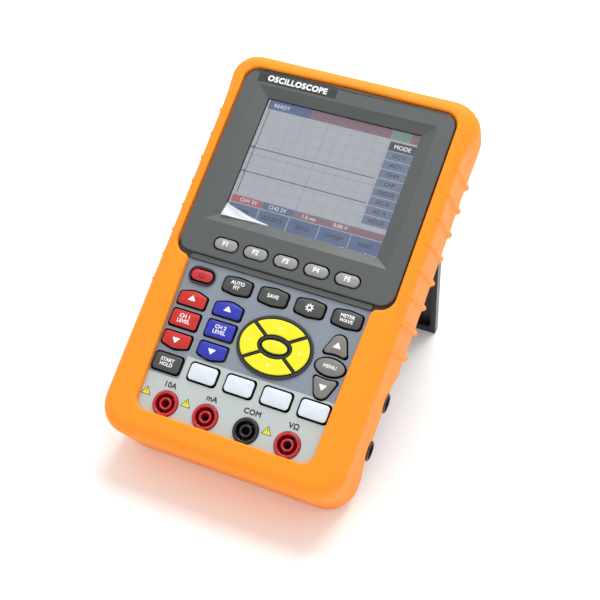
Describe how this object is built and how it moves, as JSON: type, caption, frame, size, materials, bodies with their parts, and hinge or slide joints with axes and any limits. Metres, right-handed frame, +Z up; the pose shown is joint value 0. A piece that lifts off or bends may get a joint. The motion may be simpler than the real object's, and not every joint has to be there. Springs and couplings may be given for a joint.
{
  "type": "handheld oscilloscope",
  "caption": "Handheld oscilloscope and multimeter in an orange rubber holster, leaning on its rear stand, with colour display, rubber keypad, lead jacks and side coaxial sockets.",
  "frame": {"origin": "middle of the narrow flat on the holster's heel, where the leaning instrument meets the surface it stands on", "axes": "+Z up, the face looks towards -Y and upwards, +X to the right of someone reading the screen; the instrument leans back 37.5 degrees from lying flat, so the stand's foot lies behind the heel on +Y"},
  "size_m": [0.119, 0.1694, 0.1415],
  "materials": {
    "holster_rubber": "soft matt moulded rubber",
    "case_plastic": "fine grained dark grey moulding",
    "panel_film": "printed blue-grey film with a paler lower field",
    "key_grey": "satin grey silicone rubber",
    "key_dark": "satin dark grey silicone rubber",
    "key_mid": "satin mid grey silicone rubber",
    "key_red": "satin red silicone rubber",
    "key_blue": "satin blue silicone rubber",
    "key_white": "satin white silicone rubber",
    "key_yellow": "satin yellow silicone rubber",
    "ring_dark": "satin dark trim",
    "screen_lens": "clear polished window",
    "display": "liquid crystal display in a thin frame",
    "circuit_board": "green solder mask",
    "key_mat": "plain silicone sheet",
    "battery_wrap": "shrink wrap",
    "steel": "bright zinc plated",
    "jack_red": "glossy red insulator",
    "jack_black": "glossy black insulator",
    "stand_plastic": "fine grained black moulding"
  },
  "bodies": {
    "instrument": {"holster": "holster_rubber", "front_case": "case_plastic", "rear_case": "case_plastic", "keypad_panel": "panel_film", "direction_pad_ring": "ring_dark", "power_ring": "ring_dark", "screen_lens": "screen_lens", "lcd_module": "display", "main_board": "circuit_board", "keypad_board": "circuit_board", "keypad_mat": "key_mat", "battery_pack": "battery_wrap", "battery_door": "case_plastic", "door_screw_left": "steel", "door_screw_right": "steel", "case_screw_1": "steel", "case_screw_2": "steel", "case_screw_3": "steel", "case_screw_4": "steel", "jack_ten_amp": "jack_red", "jack_milliamp": "jack_red", "jack_common": "jack_black", "jack_volt_ohm": "jack_red", "bnc_channel_1": "jack_black", "bnc_channel_2": "jack_black", "dc_jack": "jack_black", "usb_port": "steel", "buzzer": "jack_black", "shield_can": "steel", "hinge_rod": "steel"},
    "kickstand": {"kickstand": "stand_plastic"},
    "key_f1": {"key_f1": "key_grey"},
    "key_f2": {"key_f2": "key_grey"},
    "key_f3": {"key_f3": "key_grey"},
    "key_f4": {"key_f4": "key_grey"},
    "key_f5": {"key_f5": "key_grey"},
    "key_power": {"key_power": "key_red"},
    "key_auto": {"key_auto": "key_dark"},
    "key_save": {"key_save": "key_dark"},
    "key_light": {"key_light": "key_dark"},
    "key_mode": {"key_mode": "key_dark"},
    "key_red_up": {"key_red_up": "key_red"},
    "key_red_middle": {"key_red_middle": "key_red"},
    "key_red_down": {"key_red_down": "key_red"},
    "key_blue_up": {"key_blue_up": "key_blue"},
    "key_blue_middle": {"key_blue_middle": "key_blue"},
    "key_blue_down": {"key_blue_down": "key_blue"},
    "key_run": {"key_run": "key_dark"},
    "key_white_1": {"key_white_1": "key_white"},
    "key_white_2": {"key_white_2": "key_white"},
    "key_white_3": {"key_white_3": "key_white"},
    "key_white_4": {"key_white_4": "key_white"},
    "key_scroll_up": {"key_scroll_up": "key_mid"},
    "key_menu": {"key_menu": "key_mid"},
    "key_scroll_down": {"key_scroll_down": "key_mid"},
    "key_pad_right": {"key_pad_right": "key_yellow"},
    "key_pad_up": {"key_pad_up": "key_yellow"},
    "key_pad_left": {"key_pad_left": "key_yellow"},
    "key_pad_down": {"key_pad_down": "key_yellow"},
    "key_pad_centre": {"key_pad_centre": "key_yellow"}
  },
  "joints": [
    {"name": "stand_hinge", "type": "hinge", "parent": "instrument", "child": "kickstand", "pos_m": [0, 0.11295, 0.08125], "axis": [1, 0, 0], "range_deg": [-72.3, 0]},
    {"name": "key_f1_press", "type": "slide", "parent": "instrument", "child": "key_f1", "axis": [0, 0.6088, -0.7934], "range_m": [0, 0.001], "stiffness_N_per_m": 1200},
    {"name": "key_f2_press", "type": "slide", "parent": "instrument", "child": "key_f2", "axis": [0, 0.6088, -0.7934], "range_m": [0, 0.001], "stiffness_N_per_m": 1200},
    {"name": "key_f3_press", "type": "slide", "parent": "instrument", "child": "key_f3", "axis": [0, 0.6088, -0.7934], "range_m": [0, 0.001], "stiffness_N_per_m": 1200},
    {"name": "key_f4_press", "type": "slide", "parent": "instrument", "child": "key_f4", "axis": [0, 0.6088, -0.7934], "range_m": [0, 0.001], "stiffness_N_per_m": 1200},
    {"name": "key_f5_press", "type": "slide", "parent": "instrument", "child": "key_f5", "axis": [0, 0.6088, -0.7934], "range_m": [0, 0.001], "stiffness_N_per_m": 1200},
    {"name": "key_power_press", "type": "slide", "parent": "instrument", "child": "key_power", "axis": [0, 0.6088, -0.7934], "range_m": [0, 0.001], "stiffness_N_per_m": 1200},
    {"name": "key_auto_press", "type": "slide", "parent": "instrument", "child": "key_auto", "axis": [0, 0.6088, -0.7934], "range_m": [0, 0.001], "stiffness_N_per_m": 1200},
    {"name": "key_save_press", "type": "slide", "parent": "instrument", "child": "key_save", "axis": [0, 0.6088, -0.7934], "range_m": [0, 0.001], "stiffness_N_per_m": 1200},
    {"name": "key_light_press", "type": "slide", "parent": "instrument", "child": "key_light", "axis": [0, 0.6088, -0.7934], "range_m": [0, 0.001], "stiffness_N_per_m": 1200},
    {"name": "key_mode_press", "type": "slide", "parent": "instrument", "child": "key_mode", "axis": [0, 0.6088, -0.7934], "range_m": [0, 0.001], "stiffness_N_per_m": 1200},
    {"name": "key_red_up_press", "type": "slide", "parent": "instrument", "child": "key_red_up", "axis": [0, 0.6088, -0.7934], "range_m": [0, 0.001], "stiffness_N_per_m": 1200},
    {"name": "key_red_middle_press", "type": "slide", "parent": "instrument", "child": "key_red_middle", "axis": [0, 0.6088, -0.7934], "range_m": [0, 0.001], "stiffness_N_per_m": 1200},
    {"name": "key_red_down_press", "type": "slide", "parent": "instrument", "child": "key_red_down", "axis": [0, 0.6088, -0.7934], "range_m": [0, 0.001], "stiffness_N_per_m": 1200},
    {"name": "key_blue_up_press", "type": "slide", "parent": "instrument", "child": "key_blue_up", "axis": [0, 0.6088, -0.7934], "range_m": [0, 0.001], "stiffness_N_per_m": 1200},
    {"name": "key_blue_middle_press", "type": "slide", "parent": "instrument", "child": "key_blue_middle", "axis": [0, 0.6088, -0.7934], "range_m": [0, 0.001], "stiffness_N_per_m": 1200},
    {"name": "key_blue_down_press", "type": "slide", "parent": "instrument", "child": "key_blue_down", "axis": [0, 0.6088, -0.7934], "range_m": [0, 0.001], "stiffness_N_per_m": 1200},
    {"name": "key_run_press", "type": "slide", "parent": "instrument", "child": "key_run", "axis": [0, 0.6088, -0.7934], "range_m": [0, 0.001], "stiffness_N_per_m": 1200},
    {"name": "key_white_1_press", "type": "slide", "parent": "instrument", "child": "key_white_1", "axis": [0, 0.6088, -0.7934], "range_m": [0, 0.001], "stiffness_N_per_m": 1200},
    {"name": "key_white_2_press", "type": "slide", "parent": "instrument", "child": "key_white_2", "axis": [0, 0.6088, -0.7934], "range_m": [0, 0.001], "stiffness_N_per_m": 1200},
    {"name": "key_white_3_press", "type": "slide", "parent": "instrument", "child": "key_white_3", "axis": [0, 0.6088, -0.7934], "range_m": [0, 0.001], "stiffness_N_per_m": 1200},
    {"name": "key_white_4_press", "type": "slide", "parent": "instrument", "child": "key_white_4", "axis": [0, 0.6088, -0.7934], "range_m": [0, 0.001], "stiffness_N_per_m": 1200},
    {"name": "key_scroll_up_press", "type": "slide", "parent": "instrument", "child": "key_scroll_up", "axis": [0, 0.6088, -0.7934], "range_m": [0, 0.001], "stiffness_N_per_m": 1200},
    {"name": "key_menu_press", "type": "slide", "parent": "instrument", "child": "key_menu", "axis": [0, 0.6088, -0.7934], "range_m": [0, 0.001], "stiffness_N_per_m": 1200},
    {"name": "key_scroll_down_press", "type": "slide", "parent": "instrument", "child": "key_scroll_down", "axis": [0, 0.6088, -0.7934], "range_m": [0, 0.001], "stiffness_N_per_m": 1200},
    {"name": "key_pad_right_press", "type": "slide", "parent": "instrument", "child": "key_pad_right", "axis": [0, 0.6088, -0.7934], "range_m": [0, 0.001], "stiffness_N_per_m": 1200},
    {"name": "key_pad_up_press", "type": "slide", "parent": "instrument", "child": "key_pad_up", "axis": [0, 0.6088, -0.7934], "range_m": [0, 0.001], "stiffness_N_per_m": 1200},
    {"name": "key_pad_left_press", "type": "slide", "parent": "instrument", "child": "key_pad_left", "axis": [0, 0.6088, -0.7934], "range_m": [0, 0.001], "stiffness_N_per_m": 1200},
    {"name": "key_pad_down_press", "type": "slide", "parent": "instrument", "child": "key_pad_down", "axis": [0, 0.6088, -0.7934], "range_m": [0, 0.001], "stiffness_N_per_m": 1200},
    {"name": "key_pad_centre_press", "type": "slide", "parent": "instrument", "child": "key_pad_centre", "axis": [0, 0.6088, -0.7934], "range_m": [0, 0.001], "stiffness_N_per_m": 1200}
  ]
}
